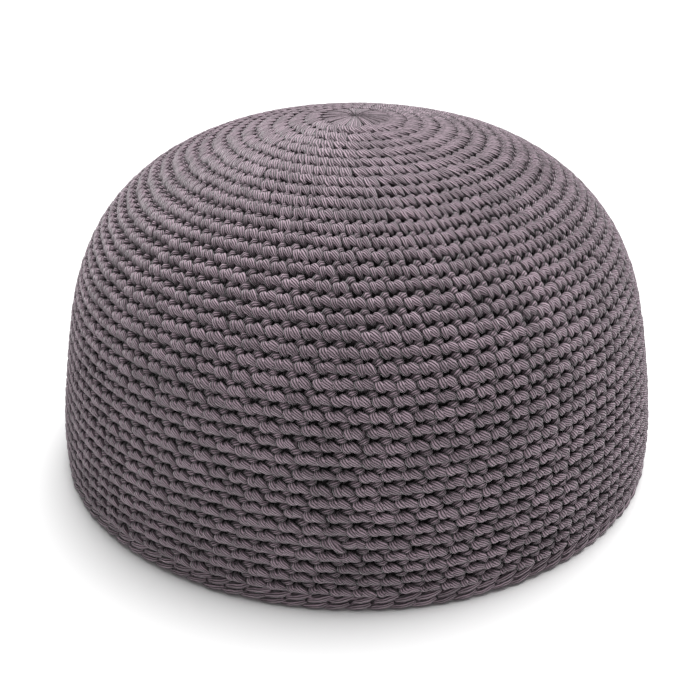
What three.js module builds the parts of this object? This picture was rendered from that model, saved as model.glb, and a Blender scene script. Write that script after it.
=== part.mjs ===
// Crocheted kufi: a soft brimless cap worked in rounds from the centre of its crown down to its rim.
// Millimetres, +Z up. The origin is the centre of the rim's underside, where the cap rests.
import * as THREE from 'three';

// Driving dimensions
const OUTER_DIAMETER = 185; // over the rounds where the cap is widest
const HEIGHT = 103; // from the rim's underside to the top of the crown
const FABRIC_THICKNESS = 3.2; // from the inner face to the crest of a round
const GROOVE_DEPTH = 0.9; // how deep the gap between two rounds lies under their crests
const EDGE_HEIGHT = 3.6; // slip-stitch edge, measured up the wall
const EDGE_WIDTH = 3.8; // slip-stitch edge, measured across the wall
const EDGE_FOOT_WIDTH = 2.4; // its flat underside
const EDGE_INSET = 0.5; // how far the edge draws in from the middle of the wall above it
const SEAT_GAP = 0.3; // clearance between the edge and the last round

// Rounds of stitches
const ROUNDS = 38; // from the crown centre to the last round above the edge
const FIRST_TO_LAST_ROUND = 1.4; // the first round's height against the last one's
const CREST_SPAN = 0.56; // share of a round that is its crest, between the sloping sides of its gaps

// Lean of the wall from level, by the share of its length from the crown centre down to the rim
const WALL_LEAN = [
  { share: 0.0, degrees: 0 },
  { share: 0.08, degrees: 9 },
  { share: 0.18, degrees: 11 },
  { share: 0.29, degrees: 19 },
  { share: 0.39, degrees: 31 },
  { share: 0.49, degrees: 46 },
  { share: 0.59, degrees: 63 },
  { share: 0.7, degrees: 77 },
  { share: 0.8, degrees: 81 },
  { share: 0.9, degrees: 82 },
  { share: 1.0, degrees: 90 },
];

// Fineness of the solids
const SIDES = 36; // flat facets round the cap
const CURVE_STEPS = 80; // short chords that the wall's line is summed from
const INNER_STATIONS = 16; // rings of the smooth inner face
const EDGE_ARC_POINTS = 4; // points on each bulging side of the edge

/** Lean of the wall, in radians, at a share of its length. */
function leanAt(share) {
  const next = Math.max(1, WALL_LEAN.findIndex((row) => row.share >= share));
  const above = WALL_LEAN[next - 1];
  const below = WALL_LEAN[next];
  const part = (share - above.share) / (below.share - above.share);
  return THREE.MathUtils.degToRad(THREE.MathUtils.lerp(above.degrees, below.degrees, part));
}

/** Line along the crests, from the crown centre to the rim, as radius (x) and height (y). */
function makeCrestLine() {
  const points = [new THREE.Vector2(0, 0)];
  for (let step = 0; step < CURVE_STEPS; step += 1) {
    const lean = leanAt((step + 0.5) / CURVE_STEPS);
    const chord = new THREE.Vector2(Math.cos(lean), -Math.sin(lean));
    points.push(points.at(-1).clone().add(chord));
  }
  const widest = Math.max(...points.map((point) => point.x));
  const drop = -points.at(-1).y;
  const wallHeight = HEIGHT - EDGE_HEIGHT - SEAT_GAP;
  const scaled = points.map(
    (point) =>
      new THREE.Vector2(
        (point.x / widest) * (OUTER_DIAMETER / 2),
        HEIGHT + (point.y / drop) * wallHeight,
      ),
  );
  const line = new THREE.SplineCurve(scaled);
  line.arcLengthDivisions = CURVE_STEPS * 5;
  return line;
}

const crestLine = makeCrestLine();

/** Point at a depth under the crest line, never past the cap's axis. */
function pointUnderCrest(share, depth) {
  const point = crestLine.getPointAt(share);
  const tangent = crestLine.getTangentAt(share);
  const inward = new THREE.Vector2(tangent.y, -tangent.x);
  point.addScaledVector(inward, depth);
  const onAxis = share === 0;
  return new THREE.Vector2(onAxis ? 0 : Math.max(point.x, 0), point.y);
}

/** Shares of the wall's length at which the rounds begin and end; they grow shorter towards the rim. */
function roundShares() {
  const shares = [0];
  for (let round = 0; round < ROUNDS; round += 1) {
    const toRim = 1 - (round + 0.5) / ROUNDS;
    const height = 1 + (FIRST_TO_LAST_ROUND - 1) * toRim * toRim;
    shares.push(shares.at(-1) + height);
  }
  return shares.map((share) => share / shares.at(-1));
}

/** Outer face of the fabric: each round is a flat-topped rib between two gaps. */
function outerFace() {
  const shares = roundShares();
  const face = [pointUnderCrest(0, 0)];
  for (let round = 0; round < ROUNDS; round += 1) {
    const start = shares[round];
    const height = shares[round + 1] - start;
    if (round > 0) {
      face.push(pointUnderCrest(start, GROOVE_DEPTH));
      face.push(pointUnderCrest(start + (height * (1 - CREST_SPAN)) / 2, 0));
    }
    face.push(pointUnderCrest(start + (height * (1 + CREST_SPAN)) / 2, 0));
  }
  face.push(pointUnderCrest(1, GROOVE_DEPTH));
  return face;
}

/** Inner face of the fabric, from the crown centre to the rim. */
function innerFace() {
  const face = [];
  for (let station = 0; station <= INNER_STATIONS; station += 1) {
    face.push(pointUnderCrest(station / INNER_STATIONS, FABRIC_THICKNESS));
  }
  return face;
}

/** Crown and side in one hollow fabric wall, turned about the cap's axis. */
function makeCapBody() {
  const section = [...innerFace(), ...outerFace().reverse()];
  const material = new THREE.MeshStandardMaterial({ color: 0x6c6067, roughness: 0.92, metalness: 0 });
  const capBody = new THREE.Mesh(new THREE.LatheGeometry(section, SIDES), material);
  capBody.name = 'cap_body';
  return capBody;
}

/** Section of the edge about its own middle: flat above and below, round at both sides. */
function edgeSection() {
  const flat = EDGE_FOOT_WIDTH / 2;
  const bulge = (EDGE_WIDTH - EDGE_FOOT_WIDTH) / 2;
  const section = [];
  for (const side of [1, -1]) {
    for (let step = 0; step < EDGE_ARC_POINTS; step += 1) {
      const angle = side * Math.PI * (step / (EDGE_ARC_POINTS - 1) - 0.5);
      const x = side * (flat + bulge * Math.cos(angle));
      section.push(new THREE.Vector2(x, (Math.sin(angle) * EDGE_HEIGHT) / 2));
    }
  }
  return section;
}

/** Slip-stitch edge that finishes the rim and carries the cap when it is set down. */
function makeEdgeChain() {
  const middle = pointUnderCrest(1, FABRIC_THICKNESS / 2).x - EDGE_INSET;
  const section = edgeSection().map((point) => new THREE.Vector2(middle + point.x, point.y));
  section.push(section[0].clone());
  const material = new THREE.MeshStandardMaterial({ color: 0x62565d, roughness: 0.92, metalness: 0 });
  const edgeChain = new THREE.Mesh(new THREE.LatheGeometry(section, SIDES), material);
  edgeChain.name = 'edge_chain';
  edgeChain.position.y = EDGE_HEIGHT / 2;
  return edgeChain;
}

// A lathe turns its section about Y, so the group is tipped to stand the cap's axis along +Z.
const kufi = new THREE.Group();
kufi.add(makeCapBody(), makeEdgeChain());
kufi.rotation.x = Math.PI / 2;

export default kufi;
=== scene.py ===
"""Looks of a crocheted kufi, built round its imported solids.

The cap is one cotton yarn worked in rounds from the crown centre to the rim. Every stitch is a small
mesh of two legs and the fan of loop beside them. Geometry Nodes lay the stitches out flat, one cell for
each, and wrap the cells on the cap's wall, so that the outside and the inside follow one chart.
"""

from __future__ import annotations

import logging
import math
from dataclasses import dataclass, field, fields, replace
from enum import Enum

import bpy
import numpy as np
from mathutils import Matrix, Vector

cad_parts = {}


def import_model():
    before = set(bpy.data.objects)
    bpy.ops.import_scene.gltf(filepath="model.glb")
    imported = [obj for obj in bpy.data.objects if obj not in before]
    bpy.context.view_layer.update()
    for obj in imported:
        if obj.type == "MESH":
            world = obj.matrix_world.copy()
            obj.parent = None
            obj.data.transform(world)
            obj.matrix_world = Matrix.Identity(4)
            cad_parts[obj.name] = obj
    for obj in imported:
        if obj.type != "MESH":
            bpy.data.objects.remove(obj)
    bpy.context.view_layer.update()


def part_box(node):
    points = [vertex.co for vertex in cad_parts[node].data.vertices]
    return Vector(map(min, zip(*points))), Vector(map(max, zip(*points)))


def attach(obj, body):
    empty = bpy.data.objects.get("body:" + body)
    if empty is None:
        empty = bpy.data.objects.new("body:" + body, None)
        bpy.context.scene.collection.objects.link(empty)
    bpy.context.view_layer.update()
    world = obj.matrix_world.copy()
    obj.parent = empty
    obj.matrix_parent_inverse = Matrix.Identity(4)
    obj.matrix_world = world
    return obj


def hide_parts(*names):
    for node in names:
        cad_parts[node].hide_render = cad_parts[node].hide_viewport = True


MILLIMETRE = 0.001
BODY = "root"
STRAND_MAP = "strand"
SUNKEN = "sunken"
TONE = "tone"
COUNT = "count"
IMAGE_SIDE = 700

# How far a point lies in the gaps, by its height in the wall from its inner side to its crests; the
# yarn's colour is darkened by it as painted shade
SUNKEN_HEIGHTS = (-3.1 * MILLIMETRE, -1.5 * MILLIMETRE, -0.2 * MILLIMETRE)
SUNKEN_LEVELS = (0.0, 1.0, 0.0)

log = logging.getLogger("kufi")


class Solid(Enum):
    """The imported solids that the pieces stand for."""

    CAP_BODY = "cap_body"
    EDGE_CHAIN = "edge_chain"


class Wire:
    """A node's output that takes part in arithmetic; each operator adds one Math node."""

    def __init__(self, graph: Graph, socket: bpy.types.NodeSocket) -> None:
        """Keeps the socket and the graph that it belongs to."""
        self.graph = graph
        self.socket = socket

    def math(self, operation: str, *others: Wire | float) -> Wire:
        """Adds a Math node with this wire as its first value.

        Args:
            operation: The Math node's operation.
            others: Its further values.

        Returns:
            The node's result.
        """
        return self.graph.number(operation, self, *others)

    def __add__(self, other: Wire | float) -> Wire:
        """Sum of two values."""
        return self.math("ADD", other)

    def __sub__(self, other: Wire | float) -> Wire:
        """Difference of two values."""
        return self.math("SUBTRACT", other)

    def __mul__(self, other: Wire | float) -> Wire:
        """Product of two values."""
        return self.math("MULTIPLY", other)

    def __truediv__(self, other: Wire | float) -> Wire:
        """Quotient of two values."""
        return self.math("DIVIDE", other)

    def __pow__(self, other: Wire | float) -> Wire:
        """This value to a power."""
        return self.math("POWER", other)

    def __rsub__(self, other: float) -> Wire:
        """A number less this value."""
        return self.graph.number("SUBTRACT", other, self)

    __radd__ = __add__
    __rmul__ = __mul__


class Graph:
    """A node tree that is written as calls and expressions."""

    def __init__(self, tree: bpy.types.NodeTree) -> None:
        """Keeps the tree, emptied of its first nodes."""
        self.tree = tree
        tree.nodes.clear()

    def add(
        self,
        kind: str,
        settings: dict | None = None,
        values: dict | None = None,
        out: int | str = 0,
    ) -> Wire:
        """Adds a node.

        Args:
            kind: The node's type.
            settings: Its own settings, set before its sockets.
            values: Its sockets by name or place, each a number or a wire.
            out: The output that is returned, by name or place.

        Returns:
            The chosen output.
        """
        node = self.tree.nodes.new(kind)
        for name, setting in (settings or {}).items():
            setattr(node, name, setting)
        for key, value in (values or {}).items():
            if isinstance(value, Wire):
                self.tree.links.new(value.socket, node.inputs[key])
            else:
                node.inputs[key].default_value = value
        return Wire(self, node.outputs[out] if node.outputs else None)

    def other(self, wire: Wire, out: int | str) -> Wire:
        """Another output of a wire's node."""
        return Wire(self, wire.socket.node.outputs[out])

    def number(self, operation: str, *values: Wire | float) -> Wire:
        """Result of a Math node on values in their order."""
        return self.add("ShaderNodeMath", {"operation": operation}, dict(enumerate(values)))

    def vector(self, operation: str, *values: Wire | tuple) -> Wire:
        """Result of a Vector Math node on vectors in their order."""
        return self.add("ShaderNodeVectorMath", {"operation": operation}, dict(enumerate(values)))

    def scaled(self, vector: Wire, factor: Wire | float) -> Wire:
        """A vector times a number."""
        values = {0: vector, "Scale": factor}
        return self.add("ShaderNodeVectorMath", {"operation": "SCALE"}, values)

    def parts(self, vector: Wire) -> tuple[Wire, Wire, Wire]:
        """The three parts of a vector."""
        first = self.add("ShaderNodeSeparateXYZ", values={0: vector})
        return first, self.other(first, 1), self.other(first, 2)

    def joined(self, x: Wire | float, y: Wire | float, z: Wire | float) -> Wire:
        """A vector made of three values."""
        return self.add("ShaderNodeCombineXYZ", values={0: x, 1: y, 2: z})

    def noise(self, place: Wire, scale: float, detail: float, out: int | str = 0) -> Wire:
        """Noise at a place, as a number or, with its colour for output, as a vector."""
        values = {"Vector": place, "Scale": scale, "Detail": detail}
        return self.add("ShaderNodeTexNoise", values=values, out=out)


def link(thing: bpy.types.Object) -> bpy.types.Object:
    """Links an object to the scene and returns it."""
    bpy.context.scene.collection.objects.link(thing)
    return thing


def discard(thing: bpy.types.Object) -> None:
    """Removes a helper object."""
    bpy.data.objects.remove(thing, do_unlink=True)


@dataclass(frozen=True)
class Lean:
    """Lean of the wall from level, at a share of its length from the crown centre."""

    share: float
    degrees: float


@dataclass(frozen=True)
class WallLine:
    """Line along the crests of the rounds, from the crown centre down to the rim."""

    radius: float
    top: float
    rim: float
    steps: int = 320
    skirt: float = 6 * MILLIMETRE
    leans: tuple[Lean, ...] = (
        Lean(0.0, 0),
        Lean(0.08, 9),
        Lean(0.18, 11),
        Lean(0.29, 19),
        Lean(0.39, 31),
        Lean(0.49, 46),
        Lean(0.59, 63),
        Lean(0.7, 77),
        Lean(0.8, 81),
        Lean(0.9, 82),
        Lean(1.0, 90),
    )

    def points(self) -> np.ndarray:
        """Radius and height of the line at even steps of its length.

        Returns:
            An array of rows, each a radius and a height in metres.
        """
        shares = (np.arange(self.steps) + 0.5) / self.steps
        table = np.array([(row.share, row.degrees) for row in self.leans])
        lean = np.radians(np.interp(shares, table[:, 0], table[:, 1]))
        radii = np.concatenate([[0.0], np.cumsum(np.cos(lean))])
        drops = np.concatenate([[0.0], np.cumsum(np.sin(lean))])
        radii *= self.radius / radii.max()
        heights = self.top - drops / drops[-1] * (self.top - self.rim)
        lengths = path_lengths(radii, heights)
        even = np.linspace(0.0, lengths[-1], self.steps + 1)
        return np.column_stack([np.interp(even, lengths, radii), np.interp(even, lengths, heights)])

    def guide(self) -> Guide:
        """Guide of the wall, carried on past the rim so that the last round keeps its shape."""
        points = self.points()
        length = path_lengths(points[:, 0], points[:, 1])[-1]
        below = points[-1] - [0.0, self.skirt]
        line = make_line("wall_guide", np.vstack([points, below]))
        return Guide(line, length / (length + self.skirt))


def path_lengths(across: np.ndarray, up: np.ndarray) -> np.ndarray:
    """Length along a line up to each of its points."""
    return np.concatenate([[0.0], np.cumsum(np.hypot(np.diff(across), np.diff(up)))])


def make_line(name: str, points: np.ndarray) -> bpy.types.Object:
    """Makes a curve object of straight pieces in the XZ plane.

    Args:
        name: The object's name.
        points: Rows of a radius and a height in metres.

    Returns:
        The object, linked to the scene.
    """
    curve = bpy.data.curves.new(name, "CURVE")
    curve.dimensions = "3D"
    spline = curve.splines.new("POLY")
    spline.points.add(len(points) - 1)
    flat = np.zeros((len(points), 4))
    flat[:, 0], flat[:, 2], flat[:, 3] = points[:, 0], points[:, 1], 1.0
    spline.points.foreach_set("co", flat.ravel())
    return link(bpy.data.objects.new(name, curve))


@dataclass(frozen=True)
class Guide:
    """A line that stitches are wrapped on, and the share of it that their rounds fill."""

    line: bpy.types.Object
    share: float


@dataclass(frozen=True)
class Chart:
    """How many stitches each round holds, counted from the crown centre."""

    rounds: int = 38
    increase: int = 8
    widest: int = 104

    def count(self, index: int) -> int:
        """Stitches in a round; the edge below the last round keeps its count."""
        return min(self.increase * (index + 1), self.widest)

    def cells(self, first: int, last: int) -> tuple[np.ndarray, np.ndarray]:
        """Places of the stitches of a span of rounds.

        Args:
            first: The first round's index.
            last: The index after the last round's.

        Returns:
            The cells' corners as column and round, and each one's stitch count.
        """
        cells = [(column, row) for row in range(first, last) for column in range(self.count(row))]
        counts = [self.count(row) for _, row in cells]
        return np.array(cells, dtype=float), np.array(counts, dtype=float)


@dataclass(frozen=True)
class Strand:
    """A closed spindle of yarn on a bent line, in cells across and down and in metres of depth.

    Attributes:
        path: Start, bend and end of its line.
        half_width: Half its width where it is widest.
        crest: Height of its crest, midway.
        floor: Height of its underside.
        plies: Plies that show side by side.
        twist: Plies that they shift across it for each cell of its length.
        lean: How much further its start stands out than its end.
        widest_at: Share of its length where it is widest.
        blunt: How blunt its start and its end are; less is blunter.
        round_off: How soon its crest rises from both ends; less is sooner.
        bulge: How far its sides fall away, as a share of its height.
        segments: Steps along it.
        arch: Points across its crest.
        arch_share: How much of a half circle its crest spans from side to side.
        keel: How far its underside hangs below the floor, as a share of its height.
    """

    path: tuple[tuple[float, float], ...]
    half_width: float
    crest: float
    floor: float
    plies: float
    twist: float = 0.5
    lean: float = 0.0
    widest_at: float = 0.55
    blunt: tuple[float, float] = (0.5, 0.5)
    round_off: float = 0.36
    bulge: float = 0.45
    segments: int = 6
    arch: int = 5
    arch_share: float = 0.95
    keel: float = 0.15

    def centre(self, share: float) -> np.ndarray:
        """Point of the bent line at a share of its length."""
        start, bend, end = (np.array(point) for point in self.path)
        rest = 1 - share
        return rest * rest * start + 2 * rest * share * bend + share * share * end

    def side(self, share: float) -> np.ndarray:
        """Unit vector across the bent line at a share of its length."""
        start, bend, end = (np.array(point) for point in self.path)
        along = (1 - share) * (bend - start) + share * (end - bend)
        across = np.array([along[1], -along[0]])
        return across / np.linalg.norm(across)

    def swell(self, share: float) -> float:
        """Width at a share of the length against the widest, which may be nearer to one end."""
        if share < self.widest_at:
            return math.sin(math.pi / 2 * share / self.widest_at) ** self.blunt[0]
        return math.sin(math.pi / 2 * (1 - share) / (1 - self.widest_at)) ** self.blunt[1]

    def rise(self, share: float) -> float:
        """Height of the crest over the floor at a share of the length, in metres."""
        height = self.crest - self.floor + self.lean * (0.5 - share)
        return height * math.sin(math.pi * share) ** self.round_off

    def build(self, into: StrandMesh) -> None:
        """Adds the spindle to a mesh.

        Args:
            into: The mesh that takes its points, faces and strand map.
        """
        across = np.linspace(-1.0, 1.0, self.arch)
        arches = 1 - self.bulge * (1 - np.sqrt(1 - self.arch_share * across**2))
        rings: list[list[int]] = []
        for index in range(1, self.segments):
            share = 0.5 - 0.5 * math.cos(math.pi * index / self.segments)
            centre, side = self.centre(share), self.side(share)
            width = self.half_width * self.swell(share)
            ring = []
            for place, height in zip(across, arches):
                x, y = centre + side * width * place
                ring.append(into.point(x, y, self.floor + self.rise(share) * height))
            x, y = centre
            ring.append(into.point(x, y, self.floor - self.keel * self.rise(share)))
            rings.append(ring)
        start = into.point(*self.centre(0.0), self.floor)
        end = into.point(*self.centre(1.0), self.floor)
        self.skin(into, rings, start, end)

    def skin(self, into: StrandMesh, rings: list[list[int]], start: int, end: int) -> None:
        """Joins the rings and both tips with faces that carry the strand map.

        Args:
            into: The mesh that takes the faces.
            rings: Places of the points of each ring.
            start: Place of the first tip.
            end: Place of the last tip.
        """
        sides = len(rings[0])
        ends = np.array(self.path[-1]) - np.array(self.path[0])
        step = float(np.linalg.norm(ends)) / self.segments
        marks = [self.plies * place for place in np.linspace(0.0, 1.0, self.arch)]
        # The two faces of the underside carry as many plies again
        marks += [self.plies * 1.5, self.plies * 2.0]
        # Corners run the other way round where the crest faces into the cap
        turn = 1 if self.crest > self.floor else -1
        for side in range(sides):
            after = (side + 1) % sides
            low, high = marks[side], marks[side + 1]
            middle = (low + high) / 2
            for index in range(len(rings) - 1):
                near, far = (index + 1) * step, (index + 2) * step
                one, two = rings[index], rings[index + 1]
                corners = (one[side], one[after], two[after], two[side])
                places = ((near, low), (near, high), (far, high), (far, low))
                into.face(corners[::turn], self.twisted(places)[::turn])
            corners = (start, rings[0][after], rings[0][side])
            places = ((0.0, middle), (step, high), (step, low))
            into.face(corners[::turn], self.twisted(places)[::turn])
            near, far = (self.segments - 1) * step, self.segments * step
            corners = (rings[-1][side], rings[-1][after], end)
            places = ((near, low), (near, high), (far, middle))
            into.face(corners[::turn], self.twisted(places)[::turn])

    def twisted(self, places: tuple[tuple[float, float], ...]) -> tuple[tuple[float, float], ...]:
        """Strand map places with the plies shifted across by the twist."""
        return tuple((along, across + self.twist * along) for along, across in places)


class StrandMesh:
    """Points, faces and strand map of a template, gathered spindle by spindle."""

    def __init__(self) -> None:
        """Starts empty."""
        self.points: list[tuple[float, float, float]] = []
        self.faces: list[tuple[int, ...]] = []
        self.marks: list[tuple[float, float]] = []

    def point(self, x: float, y: float, z: float) -> int:
        """Adds a point and returns its place."""
        self.points.append((float(x), float(y), float(z)))
        return len(self.points) - 1

    def face(self, corners: tuple[int, ...], marks: tuple[tuple[float, float], ...]) -> None:
        """Adds a face with the strand map of its corners."""
        self.faces.append(corners)
        self.marks.extend(marks)

    def finish(self, name: str, yarn: bpy.types.Material) -> bpy.types.Object:
        """Makes an object of the mesh.

        Args:
            name: The object's name.
            yarn: Its material.

        Returns:
            The object, linked to the scene.
        """
        mesh = bpy.data.meshes.new(name)
        mesh.materials.append(yarn)
        mesh.from_pydata(self.points, [], self.faces, shade_flat=False)
        heights = np.array([point[2] for point in self.points])
        # Depth in the gaps, by which the yarn's colour is darkened as painted shade
        sunken = np.interp(heights, SUNKEN_HEIGHTS, SUNKEN_LEVELS)
        mesh.attributes.new(SUNKEN, "FLOAT", "POINT").data.foreach_set("value", sunken)
        layer = mesh.uv_layers.new(name=STRAND_MAP)
        layer.data.foreach_set("uv", np.array(self.marks, dtype=np.float32).ravel())
        mesh.update()
        return link(bpy.data.objects.new(name, mesh))


@dataclass(frozen=True)
class Ring:
    """A closed ring turned about the cap's axis from a section of radii and heights."""

    name: str
    section: tuple[tuple[float, float], ...]
    sides: int
    plies: float = 4.0

    def build(self, yarn: bpy.types.Material) -> bpy.types.Object:
        """Makes the ring.

        Args:
            yarn: Its material.

        Returns:
            The ring's object.
        """
        mesh = StrandMesh()
        rows = []
        for index in range(self.sides):
            angle = math.tau * index / self.sides
            cosine, sine = math.cos(angle), math.sin(angle)
            rows.append([mesh.point(r * cosine, r * sine, z) for r, z in self.section])
        across = [self.plies * index / len(self.section) for index in range(len(self.section) + 1)]
        for index in range(self.sides):
            one, two = rows[index], rows[(index + 1) % self.sides]
            for side in range(len(self.section)):
                after = (side + 1) % len(self.section)
                corners = (one[side], one[after], two[after], two[side])
                low, high = across[side], across[side + 1]
                mesh.face(corners, ((index, low), (index, high), (index + 1, high), (index + 1, low)))
        return mesh.finish(self.name, yarn)


@dataclass(frozen=True)
class Backing:
    """A piece of the cloth's core round one pinhole, which it carries in its middle.

    Attributes:
        outer: Height of its outer face.
        inner: Height of its inner face.
        swell: How much higher the outer face stands between the pinholes of two rounds.
        across: Half the pinhole's width, in cells.
        down: Half the pinhole's length, in cells.
    """

    outer: float = -1.75 * MILLIMETRE
    inner: float = -2.9 * MILLIMETRE
    swell: float = 1.2 * MILLIMETRE
    across: float = 0.1
    down: float = 0.12
    corners: int = 8
    plies: float = 4.0

    def build(self, into: StrandMesh) -> None:
        """Adds the outer face, the inner face and the pinhole's side, each a ring of quads.

        Args:
            into: The mesh that takes its points, faces and strand map.
        """
        half = 0.5
        rings = []
        for depth in (self.outer, self.inner):
            edge, hole = [], []
            for index in range(self.corners):
                angle = math.tau * index / self.corners
                x, y = math.cos(angle), math.sin(angle)
                reach = half / max(abs(x), abs(y))
                lift = self.swell if depth == self.outer and abs(y) > half else 0.0
                edge.append(into.point(x * reach, y * reach, depth + lift))
                hole.append(into.point(x * self.across, y * self.down, depth))
            rings += [edge, hole]
        outer_edge, outer_hole, inner_edge, inner_hole = rings
        for one, two in ((outer_hole, outer_edge), (inner_hole, outer_hole), (inner_edge, inner_hole)):
            for index in range(self.corners):
                after = (index + 1) % self.corners
                quad = (one[index], one[after], two[after], two[index])
                places = (into.points[corner] for corner in quad)
                into.face(quad, tuple((down, self.plies * across) for across, down, _ in places))


def make_template(
    name: str, parts: tuple[Strand | Backing, ...], yarn: bpy.types.Material
) -> bpy.types.Object:
    """Makes a template from its parts.

    Args:
        name: The template's name.
        parts: What it is made of.
        yarn: Its material.

    Returns:
        The template's object.
    """
    mesh = StrandMesh()
    for part in parts:
        part.build(mesh)
    return mesh.finish(name, yarn)


@dataclass(frozen=True)
class Stitch:
    """One single crochet stitch: its legs spread from the hole, with the loop's fan beside it.

    Attributes:
        fullness: How wide the legs are.
        fan_depth: How deep the fan's crest lies under the legs.
        reach: How much nearer the legs come to the rounds above and below, in cells.
        lean: How much further the legs stand out at their tops than at their feet.
        depth: How deep the notches between the legs are.
        slant: How far the legs' feet swing to the right, in cells.
        fan_span: How far the fan reaches to the left, in cells.
        fan_width: Half the fan's width, in cells.
        fineness: How many plies show.
    """

    fullness: float = 1.06
    fan_depth: float = 0.2 * MILLIMETRE
    reach: float = -0.03
    lean: float = 1.0 * MILLIMETRE
    depth: float = 2.3 * MILLIMETRE
    slant: float = 0.24
    fan_span: float = 0.5
    fan_width: float = 0.36
    fineness: float = 1.12

    LEG_CREST = 0.08 * MILLIMETRE
    FAN_ROOT = 0.3 * MILLIMETRE

    def towards(self, other: Stitch, share: float) -> Stitch:
        """Stitch that lies between this one and another.

        Args:
            other: The other stitch.
            share: How far it is on the way to the other one.

        Returns:
            The stitch between them.
        """
        pairs = [(getattr(self, each.name), getattr(other, each.name)) for each in fields(self)]
        return Stitch(*(here + (there - here) * share for here, there in pairs))

    def parts(self) -> tuple[Strand, ...]:
        """The stitch's spindles."""
        swing = self.slant / 2
        foot = (0.08 + 2 * swing, 0.97 + self.reach)
        left_leg = Strand(
            path=((0.03 - swing, 0.12 - self.reach), (-0.02, 0.5), foot),
            half_width=0.225 * self.fullness,
            crest=self.LEG_CREST,
            floor=-self.depth,
            plies=3.0 * self.fineness,
            twist=-0.7,
            lean=self.lean,
            widest_at=0.45,
            blunt=(0.25, 0.45),
            round_off=0.28,
            bulge=0.18,
        )
        right_leg = replace(
            left_leg,
            path=((0.24 - swing, 0.12 - self.reach), (0.46, 0.42), (0.83 + swing, 0.93 + self.reach)),
            half_width=0.26 * self.fullness,
            plies=3.7 * self.fineness,
            twist=0.1,
            widest_at=0.42,
            blunt=(0.22, 0.85),
        )
        fan = Strand(
            path=((0.04, -0.12), (-0.5 * self.fan_span, -0.08), (-self.fan_span, 0.32)),
            half_width=self.fan_width,
            crest=-self.fan_depth,
            floor=-self.depth - self.FAN_ROOT,
            plies=3.8 * self.fineness,
            twist=0.0,
            blunt=(0.4, 0.35),
            segments=4,
        )
        return left_leg, right_leg, fan


@dataclass(frozen=True)
class WrongSide:
    """The stitch seen from inside the cap: a bar along the round and the back of the loop under it."""

    bar: Strand = Strand(
        path=((-0.38, 0.32), (0.12, 0.16), (0.66, 0.3)),
        half_width=0.19,
        crest=-3.3 * MILLIMETRE,
        floor=-2.2 * MILLIMETRE,
        plies=3.0,
        segments=4,
        arch=4,
    )
    loop: Strand = replace(
        bar, path=((0.62, 0.42), (0.4, 0.66), (0.12, 0.84)), half_width=0.22, crest=-3.1 * MILLIMETRE
    )

    def parts(self) -> tuple[Strand, ...]:
        """The wrong side's spindles."""
        return self.bar, self.loop


@dataclass(frozen=True)
class EdgeLoop:
    """A slip stitch of the edge: two leaves that lie along the rim outside and one inside."""

    upper_leaf: Strand = Strand(
        path=((-0.3, 0.56), (0.45, 0.4), (1.15, -0.02)),
        half_width=0.25,
        crest=1.05 * MILLIMETRE,
        floor=-0.9 * MILLIMETRE,
        plies=3.2,
        widest_at=0.5,
        blunt=(0.6, 0.6),
        segments=7,
    )
    lower_leaf: Strand = replace(
        upper_leaf,
        path=((-0.5, 0.96), (0.3, 0.88), (1.0, 0.5)),
        crest=0.95 * MILLIMETRE,
        floor=-1.2 * MILLIMETRE,
    )
    inner_leaf: Strand = Strand(
        path=((-0.2, 0.3), (0.45, 0.45), (1.1, 0.62)),
        half_width=0.3,
        crest=-3.5 * MILLIMETRE,
        floor=-2.2 * MILLIMETRE,
        plies=3.4,
        arch=4,
    )

    def parts(self) -> tuple[Strand, ...]:
        """The edge's spindles."""
        return self.upper_leaf, self.lower_leaf, self.inner_leaf


@dataclass(frozen=True)
class YarnJoin:
    """Loops that cross the rounds where a new ball of yarn was joined in, low on the cap's front."""

    column: int = 3
    row: int = 33
    crossing: Strand = Strand(
        path=((0.05, -0.15), (0.4, 0.62), (1.1, 0.98)),
        half_width=0.19,
        crest=0.65 * MILLIMETRE,
        floor=-1.6 * MILLIMETRE,
        plies=2.6,
        blunt=(0.5, 0.6),
        bulge=0.3,
        segments=8,
    )
    loop: Strand = Strand(
        path=((0.66, 0.36), (1.1, 0.44), (1.46, 0.0)),
        half_width=0.2,
        crest=0.55 * MILLIMETRE,
        floor=-1.4 * MILLIMETRE,
        plies=2.4,
        bulge=0.3,
        segments=7,
    )
    lower_loop: Strand = replace(
        loop,
        path=((0.45, 1.22), (0.95, 1.6), (1.34, 1.02)),
        half_width=0.17,
        crest=0.45 * MILLIMETRE,
        segments=8,
    )

    def parts(self) -> tuple[Strand, ...]:
        """The join's spindles."""
        return self.crossing, self.loop, self.lower_loop


@dataclass(frozen=True)
class Star:
    """The first loops at the crown centre: long plies that run out from the start like a star."""

    arms: int = 22
    leg: Strand = Strand(
        path=((0.5, 0.08), (0.56, 1.0), (0.72, 2.7)),
        half_width=0.6,
        crest=-0.12 * MILLIMETRE,
        floor=-0.9 * MILLIMETRE,
        plies=4.5,
        bulge=0.32,
        twist=0.1,
        widest_at=0.6,
        blunt=(0.3, 0.3),
        segments=7,
    )

    def parts(self) -> tuple[Strand, ...]:
        """The star's spindle."""
        return (self.leg,)


@dataclass(frozen=True)
class Hand:
    """How unevenly stitches are worked: the most that each is turned, stretched and shifted."""

    turn: float = math.radians(6)
    stretch: float = 0.09
    shift: float = 0.045


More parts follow.
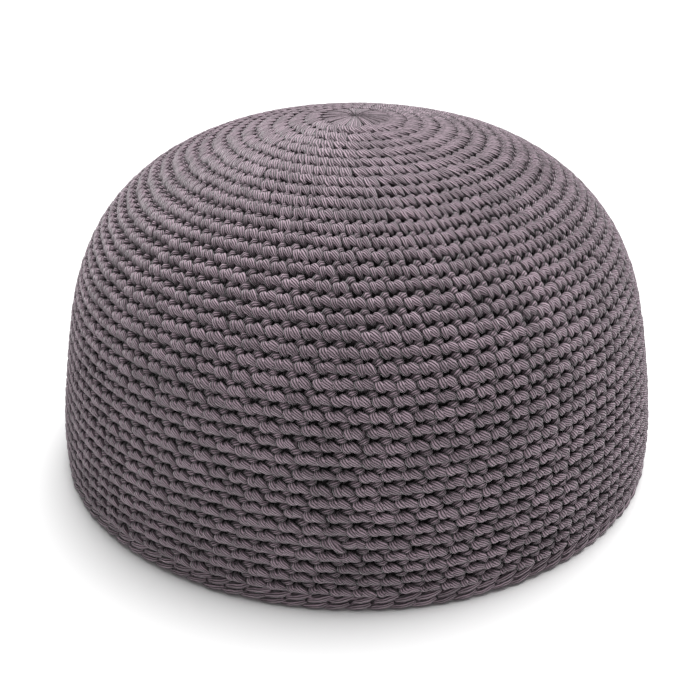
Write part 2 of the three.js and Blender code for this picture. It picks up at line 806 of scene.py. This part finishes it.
class LayingTree:
    """Geometry Nodes tree that lays a stitch in every cell and wraps the cells on a guide."""

    INPUTS = {
        "NodeSocketGeometry": ("Chart",),
        "NodeSocketObject": ("Stitch", "Guide"),
        "NodeSocketMaterial": ("Yarn",),
        "NodeSocketInt": ("Seed",),
        "NodeSocketFloat": (
            "Guide Share",
            "Rounds",
            "First To Last",
            "Drift",
            "Turn",
            "Stretch",
            "Shift",
            "Weld",
        ),
    }
    # Added to the layer's seed for each kind of chance
    SHIFT_SALT = 11
    TURN_SALT = 23
    STRETCH_SALT = 37
    TONE_SALT = 51
    # Scales of the noise that moves the cloth, how far each moves it, and its share along each axis
    UNEVEN = ((190.0, 0.16 * MILLIMETRE), (17.0, 0.9 * MILLIMETRE))
    UNEVEN_SHARES = (1.0, 1.0, 0.5)

    def __init__(self) -> None:
        """Builds the tree."""
        self.tree = bpy.data.node_groups.new("lay_stitches", "GeometryNodeTree")
        face = self.tree.interface
        face.new_socket(name="Cap", in_out="OUTPUT", socket_type="NodeSocketGeometry")
        self.identifiers = {
            name: face.new_socket(name=name, in_out="INPUT", socket_type=kind).identifier
            for kind, names in self.INPUTS.items()
            for name in names
        }
        self.graph = Graph(self.tree)
        self.source = self.graph.add("NodeGroupInput")
        laid = self.lay()
        wrapped = self.wrap(laid)
        uneven = self.unsettle(wrapped)
        welded = self.graph.add(
            "GeometryNodeMergeByDistance", values={"Geometry": uneven, "Distance": self.given("Weld")}
        )
        dressed = self.graph.add(
            "GeometryNodeSetMaterial", values={"Geometry": welded, "Material": self.given("Yarn")}
        )
        self.graph.add("NodeGroupOutput", values={0: dressed})

    def given(self, name: str) -> Wire:
        """One of the tree's inputs."""
        return self.graph.other(self.source, name)

    def shape(self, name: str) -> Wire:
        """Geometry of one of the tree's objects."""
        values = {"Object": self.given(name)}
        return self.graph.add("GeometryNodeObjectInfo", values=values, out="Geometry")

    def chance(self, low: float, high: float, salt: int) -> Wire:
        """A random vector for each cell, between two values in every part."""
        values = {0: (low,) * 3, 1: (high,) * 3, "Seed": self.given("Seed") + salt}
        return self.graph.add("FunctionNodeRandomValue", {"data_type": "FLOAT_VECTOR"}, values)

    def lay(self) -> Wire:
        """Puts the stitch in every cell, flat, a little turned, stretched and shifted."""
        graph = self.graph
        flat = graph.vector("MULTIPLY", self.chance(-1.0, 1.0, self.SHIFT_SALT), (1.0, 1.0, 0.0))
        offset = graph.scaled(flat, self.given("Shift"))
        cells = graph.add(
            "GeometryNodeSetPosition", values={"Geometry": self.given("Chart"), "Offset": offset}
        )
        turn = graph.parts(self.chance(-1.0, 1.0, self.TURN_SALT))[2] * self.given("Turn")
        stretch = graph.scaled(self.chance(-1.0, 1.0, self.STRETCH_SALT), self.given("Stretch"))
        values = {
            "Points": cells,
            "Instance": self.shape("Stitch"),
            "Rotation": graph.joined(0.0, 0.0, turn),
            "Scale": graph.vector("ADD", stretch, (1.0, 1.0, 1.0)),
        }
        placed = graph.add("GeometryNodeInstanceOnPoints", values=values)
        tone = graph.parts(self.chance(0.0, 1.0, self.TONE_SALT))[0]
        named = graph.add(
            "GeometryNodeStoreNamedAttribute",
            {"data_type": "FLOAT", "domain": "INSTANCE"},
            {"Geometry": placed, "Name": TONE, "Value": tone},
        )
        return graph.add("GeometryNodeRealizeInstances", values={"Geometry": named})

    def wrap(self, laid: Wire) -> Wire:
        """Bends the flat cells: columns turn about the cap's axis and rounds follow the guide."""
        graph = self.graph
        place = graph.add("GeometryNodeInputPosition")
        column, row, depth = graph.parts(place)
        down = row / self.given("Rounds")
        rest = 1.0 - down
        # A round's extra height falls off with the square of what is left, so their sum holds its cube
        extra = (self.given("First To Last") - 1.0) / 3.0
        share = (down + extra * (1.0 - rest * rest * rest)) / (extra + 1.0)
        values = {"Curves": self.shape("Guide"), "Factor": share * self.given("Guide Share")}
        sample = graph.add("GeometryNodeSampleCurve", {"mode": "FACTOR"}, values, out="Position")
        tangent = graph.parts(graph.other(sample, "Tangent"))
        outward = graph.joined(0.0 - tangent[2], 0.0, tangent[0])
        point = graph.vector("ADD", sample, graph.scaled(outward, depth))
        radius, _, height = graph.parts(point)
        count = graph.add("GeometryNodeInputNamedAttribute", {"data_type": "FLOAT"}, {"Name": COUNT})
        angle = (column + row * self.given("Drift")) / count * math.tau - math.pi / 2
        turned = graph.joined(radius * angle.math("COSINE"), radius * angle.math("SINE"), height)
        return graph.add("GeometryNodeSetPosition", values={"Geometry": laid, "Position": turned})

    def unsettle(self, wrapped: Wire) -> Wire:
        """Moves the cloth a little, as handwork that has been worn, and sets it down level."""
        graph = self.graph
        place = graph.add("GeometryNodeInputPosition")
        moves = []
        for scale, reach in self.UNEVEN:
            noise = graph.noise(place, scale, detail=0.0, out="Color")
            centred = graph.vector("SUBTRACT", noise, (0.5, 0.5, 0.5))
            moves.append(graph.scaled(centred, 2.0 * reach))
        offset = graph.vector("MULTIPLY", graph.vector("ADD", *moves), self.UNEVEN_SHARES)
        x, y, z = graph.parts(graph.vector("ADD", place, offset))
        rested = graph.joined(x, y, z.math("MAXIMUM", 0.0))
        return graph.add("GeometryNodeSetPosition", values={"Geometry": wrapped, "Position": rested})

    def apply(self, name: str, cells: tuple[np.ndarray, np.ndarray], inputs: dict) -> bpy.types.Object:
        """Runs the tree on a chart and keeps the result as a plain mesh.

        Args:
            name: The new piece's name.
            cells: The cells' corners and each one's stitch count.
            inputs: The tree's other inputs by name.

        Returns:
            The piece.
        """
        corners, counts = cells
        chart = bpy.data.meshes.new(name + "_chart")
        points = np.column_stack([corners, np.zeros(len(corners))])
        chart.from_pydata(points.tolist(), [], [])
        chart.attributes.new(COUNT, "FLOAT", "POINT").data.foreach_set("value", counts)
        holder = link(bpy.data.objects.new(name + "_chart", chart))
        modifier = holder.modifiers.new("lay", "NODES")
        modifier.node_group = self.tree
        for key, value in inputs.items():
            modifier[self.identifiers[key]] = value
        graph = bpy.context.evaluated_depsgraph_get()
        mesh = bpy.data.meshes.new_from_object(holder.evaluated_get(graph), depsgraph=graph)
        mesh.name = name
        discard(holder)
        return link(bpy.data.objects.new(name, mesh))


@dataclass(frozen=True)
class CottonYarn:
    """Matte cotton yarn of several plies; the strand map runs along it and counts plies across it.

    Attributes:
        light: Colour of the plies' crests.
        shade: Colour of the painted shade between the plies and deep in the gaps.
        tone_spread: How much darker the darkest stitch is than the lightest.
        buried: How much painted shade darkens the yarn near the start of the strand map.
        gap_shade: How much painted shade darkens it where it lies sunken.
    """

    name: str = "crochet_cotton"
    light: tuple[float, float, float] = (0.41, 0.302, 0.36)
    shade: tuple[float, float, float] = (0.008, 0.0056, 0.0068)
    ply_relief: float = 0.26 * MILLIMETRE
    fibre_relief: float = 0.05 * MILLIMETRE
    tone_spread: float = 0.23
    buried: float = 0.0
    gap_shade: float = 1.0
    roughness: float = 0.88
    sheen: float = 0.48

    WANDER_SCALE = 420.0
    WANDER_PLIES = 0.9
    MOTTLE_SCALE = 60.0
    MOTTLE_SPREAD = 0.5
    # Along the yarn, across a ply and up the cap
    FIBRE_SCALES = (6.0, 5.0, 900.0)
    PLY_SETS = 61.0
    BARE_RATE = 2.2
    BARE_START = 0.2
    CREST_POWER = 1.7
    RELIEF_POWER = 0.6
    FIBRE_TONE = 1.45
    PLY_TONE = 0.65
    TONE_LOSS = 0.05

    def build(self) -> bpy.types.Material:
        """Makes the material.

        Returns:
            The material, with its plies, fibres and tones from nodes.
        """
        material = bpy.data.materials.new(self.name)
        material.use_nodes = True
        graph = Graph(material.node_tree)
        along, across, _ = graph.parts(graph.add("ShaderNodeUVMap", {"uv_map": STRAND_MAP}))
        place = graph.add("ShaderNodeTexCoord", out="Object")
        wander = graph.noise(place, self.WANDER_SCALE, detail=1.0)
        phase = across + (wander - 0.5) * self.WANDER_PLIES
        ridge = (phase * math.pi).math("SINE").math("ABSOLUTE")
        lengthwise, crosswise, upwards = self.FIBRE_SCALES
        height = graph.parts(place)[2]
        hair_space = graph.joined(along * lengthwise, phase * crosswise, height * upwards)
        fibres = graph.noise(hair_space, 1.0, detail=3.0)
        tone = graph.add("ShaderNodeAttribute", {"attribute_name": TONE}, out="Fac")
        ply = graph.joined(phase.math("FLOOR"), (tone * self.PLY_SETS).math("FLOOR"), 0.0)
        chance = graph.add("ShaderNodeTexWhiteNoise", {"noise_dimensions": "2D"}, {"Vector": ply})
        mottle = graph.noise(place, self.MOTTLE_SCALE, detail=2.0)
        # Painted shade, darkest at the start of the strand map and fading along it
        unshaded = along.math("ABSOLUTE") * self.BARE_RATE - self.BARE_START
        unshaded = unshaded.math("MAXIMUM", 1.0 - self.buried).math("MINIMUM", 1.0)
        mixed = self.FIBRE_TONE * fibres + self.PLY_TONE * chance - self.TONE_LOSS
        # Painted shade: the colour darkens from each ply's crest into the grooves between the plies
        body = ridge**self.CREST_POWER * mixed * unshaded
        own_tone = 1.0 - self.tone_spread + self.tone_spread * tone
        local_tone = 1.0 - self.MOTTLE_SPREAD / 2 + self.MOTTLE_SPREAD * mottle
        # Painted shade: the colour darkens with the depth in the gaps
        sunken = graph.add("ShaderNodeAttribute", {"attribute_name": SUNKEN}, out="Fac")
        level = body * own_tone * local_tone * (1.0 - self.gap_shade * sunken)
        colour = graph.add(
            "ShaderNodeMix",
            {"data_type": "RGBA"},
            {"Factor": level.math("MINIMUM", 1.0), 6: (*self.shade, 1.0), 7: (*self.light, 1.0)},
            out=2,
        )
        values = {"Height": ridge**self.RELIEF_POWER, "Distance": self.ply_relief, "Strength": 1.0}
        ply_bump = graph.add("ShaderNodeBump", values=values)
        values |= {"Height": fibres, "Distance": self.fibre_relief, "Normal": ply_bump}
        fibre_bump = graph.add("ShaderNodeBump", values=values)
        shader = graph.add(
            "ShaderNodeBsdfPrincipled",
            values={
                "Base Color": colour,
                "Roughness": self.roughness,
                "Specular IOR Level": 0.25,
                "Sheen Weight": self.sheen,
                "Sheen Roughness": 0.45,
                "Normal": fibre_bump,
            },
        )
        graph.add("ShaderNodeOutputMaterial", values={"Surface": shader})
        return material


@dataclass(frozen=True)
class Layer:
    """A span of rounds that one template is laid on.

    Attributes:
        rounds: Rounds on the whole guide.
        arms: Cells of a single ring that doesn't follow the chart, or none.
        column: The column, where only one cell is filled.
        weld: How near to each other points are joined.
    """

    name: str
    template: bpy.types.Object
    first: int
    last: int
    guide: Guide
    hand: Hand
    rounds: float
    arms: int = 0
    stands_for: Solid = Solid.CAP_BODY
    column: int | None = None
    weld: float = 0.0


@dataclass(frozen=True)
class Span:
    """Rounds that are worked alike, with one kind of stitch."""

    name: str
    first: int
    last: int
    stitch: Stitch


@dataclass
class Kufi:
    """The cap: its rounds of stitches, its inner side and its edge.

    Attributes:
        first_to_last: The first round's height against the last one's.
        drift: How far each round is turned against the one above, in stitches.
    """

    wall: WallLine
    edge_radius: float
    edge_height: float
    chart: Chart = field(default_factory=Chart)
    first_to_last: float = 1.4
    drift: float = -0.13

    TIGHT = Stitch(
        fullness=1.54,
        fan_depth=0.5 * MILLIMETRE,
        reach=0.12,
        lean=0.3 * MILLIMETRE,
        depth=0.8 * MILLIMETRE,
        slant=0.4,
        fan_span=0.52,
        fan_width=0.33,
        fineness=1.1,
    )
    OPEN = Stitch()
    LOW = Stitch(
        fullness=1.1,
        fan_depth=0.3 * MILLIMETRE,
        reach=-0.01,
        lean=1.1 * MILLIMETRE,
        depth=2.4 * MILLIMETRE,
        slant=0.32,
        fan_span=0.54,
        fan_width=0.34,
    )
    SPANS = (
        Span("crown", 2, 6, TIGHT),
        Span("outer_crown", 6, 9, TIGHT.towards(OPEN, 0.35)),
        Span("upper_shoulder", 9, 12, TIGHT.towards(OPEN, 0.65)),
        Span("shoulder", 12, 15, TIGHT.towards(OPEN, 0.85)),
        Span("lower_shoulder", 15, 19, OPEN),
        Span("upper_side", 19, 25, OPEN.towards(LOW, 0.3)),
        Span("side", 25, 31, OPEN.towards(LOW, 0.7)),
        Span("rim", 31, 38, LOW),
    )
    # Round where the inner side changes from its crown piece to its side piece
    INNER_SPLIT = 22
    FIRST_SEED = 100
    CORE_WELD = 0.02 * MILLIMETRE
    DISC_SIDES = 32
    # Radius and depth under the crown's top
    DISC_SECTION = (
        (0.01 * MILLIMETRE, 2.9 * MILLIMETRE),
        (3.4 * MILLIMETRE, 3.0 * MILLIMETRE),
        (3.4 * MILLIMETRE, 1.2 * MILLIMETRE),
        (0.01 * MILLIMETRE, 0.3 * MILLIMETRE),
    )

    def build(self) -> list[bpy.types.Object]:
        """Builds every piece of the cap.

        Returns:
            The pieces.
        """
        yarn = CottonYarn().build()
        # The cloth's core carries painted shade: dark along the middle of its rounds round the
        # pinholes, and from its depth in the gaps
        core = CottonYarn(name="cotton_core", shade=(0.008, 0.006, 0.007), buried=1.0).build()
        # Painted light: a lighter copy of the yarn for the edge loops, which lie under the last round's
        # shadow
        painted_light_edge_yarn = CottonYarn(
            name="edge_cotton", light=(0.46, 0.347, 0.407), shade=(0.03, 0.021, 0.0255)
        ).build()
        stitches = [make_template("stitch", span.stitch.parts(), yarn) for span in self.SPANS]
        backing = make_template("backing", (Backing(),), core)
        wrong_side = make_template("wrong_side", WrongSide().parts(), yarn)
        loop = make_template("edge_loop", EdgeLoop().parts(), painted_light_edge_yarn)
        star = make_template("star_arm", Star().parts(), yarn)
        joined = YarnJoin()
        join = make_template("join_loops", joined.parts(), yarn)
        wall, rim = self.wall.guide(), self.edge_guide()
        last, rounds = self.chart.rounds, float(self.chart.rounds)
        even, firm = Hand(), Hand(turn=0.0, stretch=0.0, shift=0.0)
        loose, steady = Hand(stretch=0.12, shift=0.1), Hand(turn=math.radians(1.5))
        ring, solid = self.chart.widest, Solid.EDGE_CHAIN
        row, column = joined.row, joined.column
        layers = [
            Layer(f"{span.name}_rounds", stitch, span.first, span.last, wall, even, rounds)
            for span, stitch in zip(self.SPANS, stitches)
        ]
        layers += [
            Layer("cloth_core", backing, 1, last + 1, wall, firm, rounds, weld=self.CORE_WELD),
            Layer("crown_wrong_side", wrong_side, 0, self.INNER_SPLIT, wall, even, rounds),
            Layer("side_wrong_side", wrong_side, self.INNER_SPLIT, last, wall, even, rounds),
            Layer("crown_star", star, 0, 1, wall, loose, rounds, arms=Star().arms),
            Layer("edge_loops", loop, 0, 1, rim, steady, 1.0, arms=ring, stands_for=solid),
            Layer("yarn_join", join, row, row + 1, wall, even, rounds, column=column),
        ]
        tree = LayingTree()
        pieces = [self.lay(tree, layer, index) for index, layer in enumerate(layers)]
        pieces += self.rings(yarn)
        for helper in (*stitches, backing, wrong_side, loop, star, join, wall.line, rim.line):
            discard(helper)
        return pieces

    def lay(self, tree: LayingTree, layer: Layer, index: int) -> bpy.types.Object:
        """Lays one layer.

        Args:
            tree: The laying tree.
            layer: What is laid and where.
            index: The layer's place, which varies its chances.

        Returns:
            The piece.
        """
        if layer.arms:
            columns = np.arange(layer.arms)
            cells = np.column_stack([columns, columns * 0]).astype(float)
            counts = np.full(layer.arms, float(layer.arms))
        elif layer.column is not None:
            cells = np.array([[layer.column, layer.first]], dtype=float)
            counts = np.array([float(self.chart.count(layer.first))])
        else:
            cells, counts = self.chart.cells(layer.first, layer.last)
        inputs = {
            "Stitch": layer.template,
            "Guide": layer.guide.line,
            "Yarn": layer.template.data.materials[0],
            "Guide Share": layer.guide.share,
            "Rounds": layer.rounds,
            "First To Last": self.first_to_last if layer.rounds > 1 else 1.0,
            "Drift": self.drift,
            "Turn": layer.hand.turn,
            "Stretch": layer.hand.stretch,
            "Shift": layer.hand.shift,
            "Weld": layer.weld,
            "Seed": self.FIRST_SEED + index,
        }
        piece = tree.apply(layer.name, (cells, counts), inputs)
        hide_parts(layer.stands_for.value)
        return piece

    def edge_guide(self) -> Guide:
        """Guide of the edge: down its outer side, from above its top to just above its foot."""
        top_inset, foot_inset = 1.5 * MILLIMETRE, 0.3 * MILLIMETRE
        above, foot = 0.8 * MILLIMETRE, 0.5 * MILLIMETRE
        start = [self.edge_radius - top_inset, self.edge_height + above]
        end = [self.edge_radius - foot_inset, foot]
        return Guide(make_line("edge_guide", np.array([start, end])), 1.0)

    def rings(self, yarn: bpy.types.Material) -> list[bpy.types.Object]:
        """Makes the two plain rings: the edge's core and the disc at the crown centre.

        Args:
            yarn: Their material.

        Returns:
            Both pieces.
        """
        outer = self.edge_radius - 0.9 * MILLIMETRE
        inner = self.edge_radius - 3.5 * MILLIMETRE
        top, corner = self.edge_height, 0.5 * MILLIMETRE
        section = (
            (inner + corner, 0.0),
            (inner, corner),
            (inner, top - corner),
            (inner + corner, top),
            (outer - corner, top),
            (outer, top - corner),
            (outer, corner),
            (outer - corner, 0.0),
        )
        edge = Ring("edge_core", section, 2 * self.chart.widest, plies=6.0).build(yarn)
        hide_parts(Solid.EDGE_CHAIN.value)
        section = tuple((radius, self.wall.top - depth) for radius, depth in self.DISC_SECTION)
        disc = Ring("crown_disc", section, self.DISC_SIDES).build(yarn)
        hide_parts(Solid.CAP_BODY.value)
        return [edge, disc]


@dataclass(frozen=True)
class Studio:
    """Pale floor, soft lights and the camera at the photo's viewing angle; angles are in degrees."""

    distance: float = 330.4 * MILLIMETRE
    elevation: float = 27.7
    aim_height: float = 26.7 * MILLIMETRE
    focal_pixels: float = 1027.9
    off_centre_pixels: float = 6.5
    sensor: float = 36.0
    clip: tuple[float, float] = (0.01, 100.0)
    floor_side: float = 60.0
    floor_colour: float = 0.8
    floor_roughness: float = 0.9
    sun: float = 5.2
    sun_angle: float = 50.0
    sun_tilt: tuple[float, float] = (-18.0, 9.0)
    fill: float = 0.27

    def camera(self) -> None:
        """Makes the scene's camera."""
        data = bpy.data.cameras.new("camera")
        data.sensor_width = self.sensor
        data.lens = self.focal_pixels / IMAGE_SIDE * data.sensor_width
        data.shift_x = -self.off_centre_pixels / IMAGE_SIDE
        data.clip_start, data.clip_end = self.clip
        camera = link(bpy.data.objects.new("camera", data))
        lift = math.radians(self.elevation)
        back = Vector((0.0, -math.cos(lift), math.sin(lift)))
        camera.location = Vector((0.0, 0.0, self.aim_height)) + back * self.distance
        camera.rotation_euler = (-back).to_track_quat("-Z", "Y").to_euler()
        bpy.context.scene.camera = camera

    def floor(self) -> None:
        """Makes the plain pale floor."""
        half = self.floor_side / 2
        mesh = bpy.data.meshes.new("floor")
        corners = [(-half, -half, 0.0), (half, -half, 0.0), (half, half, 0.0), (-half, half, 0.0)]
        mesh.from_pydata(corners, [], [(0, 1, 2, 3)])
        material = bpy.data.materials.new("floor")
        material.use_nodes = True
        shader = material.node_tree.nodes["Principled BSDF"]
        shader.inputs["Base Color"].default_value = (*(self.floor_colour,) * 3, 1.0)
        shader.inputs["Roughness"].default_value = self.floor_roughness
        mesh.materials.append(material)
        floor = link(bpy.data.objects.new("floor", mesh))

    def lights(self) -> None:
        """Makes the overhead soft light and the even fill."""
        sun = bpy.data.lights.new("overhead", "SUN")
        sun.energy = self.sun
        sun.angle = math.radians(self.sun_angle)
        lamp = link(bpy.data.objects.new("overhead", sun))
        lamp.rotation_euler = (*map(math.radians, self.sun_tilt), 0.0)
        world = bpy.data.worlds.new("fill")
        world.use_nodes = True
        background = world.node_tree.nodes["Background"]
        background.inputs["Color"].default_value = (1.0, 1.0, 1.0, 1.0)
        background.inputs["Strength"].default_value = self.fill
        bpy.context.scene.world = world
        bpy.context.scene.view_settings.view_transform = "Standard"

    def build(self) -> None:
        """Sets the whole scene."""
        self.camera()
        self.floor()
        self.lights()


def main() -> None:
    """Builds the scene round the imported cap."""
    logging.basicConfig(level=logging.INFO, format="%(name)s: %(message)s")
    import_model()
    Studio().build()
    low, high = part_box("cap_body")
    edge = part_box("edge_chain")[1]
    wall = WallLine(radius=high[0], top=high[2], rim=low[2])
    for piece in Kufi(wall, edge[0], edge[2]).build():
        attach(piece, BODY)
        log.info("%s: %d faces", piece.name, len(piece.data.polygons))


if __name__ == "__main__":
    main()
